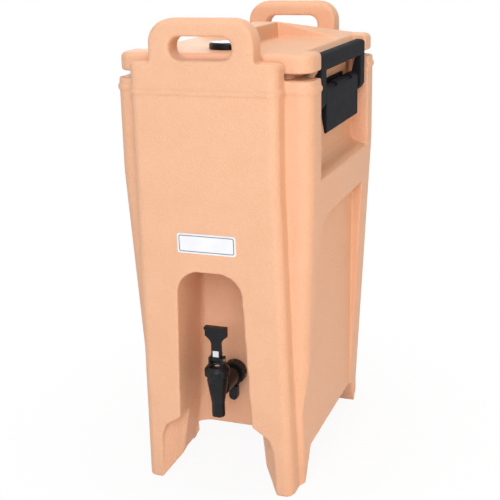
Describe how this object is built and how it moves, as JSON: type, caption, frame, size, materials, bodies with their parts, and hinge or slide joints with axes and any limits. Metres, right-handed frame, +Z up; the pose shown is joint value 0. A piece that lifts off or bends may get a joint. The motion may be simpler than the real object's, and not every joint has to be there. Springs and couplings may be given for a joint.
{
  "type": "insulated beverage dispenser",
  "caption": "Tall insulated drinks dispenser with a niche for its lever tap, loop handles at front and back and a lid held down by side latches.",
  "frame": {"origin": "middle of the footprint on the floor", "axes": "+Z up, -Y to the front with the tap, +X to the right of someone who faces the front"},
  "size_m": [0.26, 0.394, 0.619],
  "materials": {
    "shell": "fine speckle",
    "foam": "cellular",
    "black_plastic": "satin",
    "pale_plastic": "smooth",
    "label": "smooth, blank",
    "rubber": "matte",
    "steel": "drawn"
  },
  "bodies": {
    "base": {"body_shell": "shell", "top_collar": "shell", "foam_core": "foam", "inner_tank": "shell", "front_label": "label", "latch_bracket_right": "black_plastic", "latch_pin_right": "steel", "latch_screws_right": "steel", "latch_bracket_left": "black_plastic", "latch_pin_left": "steel", "latch_screws_left": "steel", "tap_body": "black_plastic", "tap_bonnet": "black_plastic", "tap_lever_pin": "steel", "coupling_nut": "black_plastic", "outer_washer": "rubber", "inner_washer": "rubber", "lock_nut": "black_plastic", "tap_spring": "steel"},
    "lid": {"lid_top": "shell", "lid_pan": "shell", "lid_foam": "foam", "lid_gasket": "rubber", "vent_tube": "black_plastic"},
    "vent": {"vent_cap": "black_plastic", "vent_seal": "rubber"},
    "lever_right": {"latch_lever_right": "black_plastic", "bail_pins_right": "steel"},
    "bail_right": {"latch_bail_right": "black_plastic"},
    "lever_left": {"latch_lever_left": "black_plastic", "bail_pins_left": "steel"},
    "bail_left": {"latch_bail_left": "black_plastic"},
    "tap_handle": {"tap_lever": "black_plastic", "lever_insert": "pale_plastic"},
    "tap_valve": {"tap_stem": "pale_plastic", "seat_cup": "rubber"}
  },
  "joints": [
    {"name": "lid_lift", "type": "slide", "parent": "base", "child": "lid", "axis": [0, 0, 1], "range_m": [0, 0.03]},
    {"name": "vent_lift", "type": "slide", "parent": "lid", "child": "vent", "axis": [0, 0, 1], "range_m": [0, 0.008]},
    {"name": "lever_right_turn", "type": "hinge", "parent": "base", "child": "lever_right", "pos_m": [0.1145, 0, 0.52], "axis": [0, -1, 0], "range_deg": [0, 110]},
    {"name": "bail_right_turn", "type": "hinge", "parent": "lever_right", "child": "bail_right", "pos_m": [0.1133, 0, 0.50806], "axis": [0, 1, 0], "range_deg": [0, 270]},
    {"name": "lever_left_turn", "type": "hinge", "parent": "base", "child": "lever_left", "pos_m": [-0.1145, 0, 0.52], "axis": [0, 1, 0], "range_deg": [0, 110]},
    {"name": "bail_left_turn", "type": "hinge", "parent": "lever_left", "child": "bail_left", "pos_m": [-0.1133, 0, 0.50806], "axis": [0, -1, 0], "range_deg": [0, 270]},
    {"name": "tap_turn", "type": "hinge", "parent": "base", "child": "tap_handle", "pos_m": [0, -0.17, 0.182], "axis": [1, 0, 0], "range_deg": [0, 35], "stiffness_Nm_per_rad": 0.12, "springref_deg": -5.73},
    {"name": "valve_lift", "type": "slide", "parent": "base", "child": "tap_valve", "axis": [0, 0, 1], "range_m": [0, 0.004], "deforming": ["tap_spring"]}
  ],
  "couplings": [
    {"joint": "lever_right_turn", "follows": "lid_lift", "rad_per_m": 63.9},
    {"joint": "bail_right_turn", "follows": "lid_lift", "rad_per_m": 157},
    {"joint": "lever_left_turn", "follows": "lid_lift", "rad_per_m": 63.9},
    {"joint": "bail_left_turn", "follows": "lid_lift", "rad_per_m": 157},
    {"joint": "valve_lift", "follows": "tap_turn", "m_per_rad": 0.0065}
  ]
}
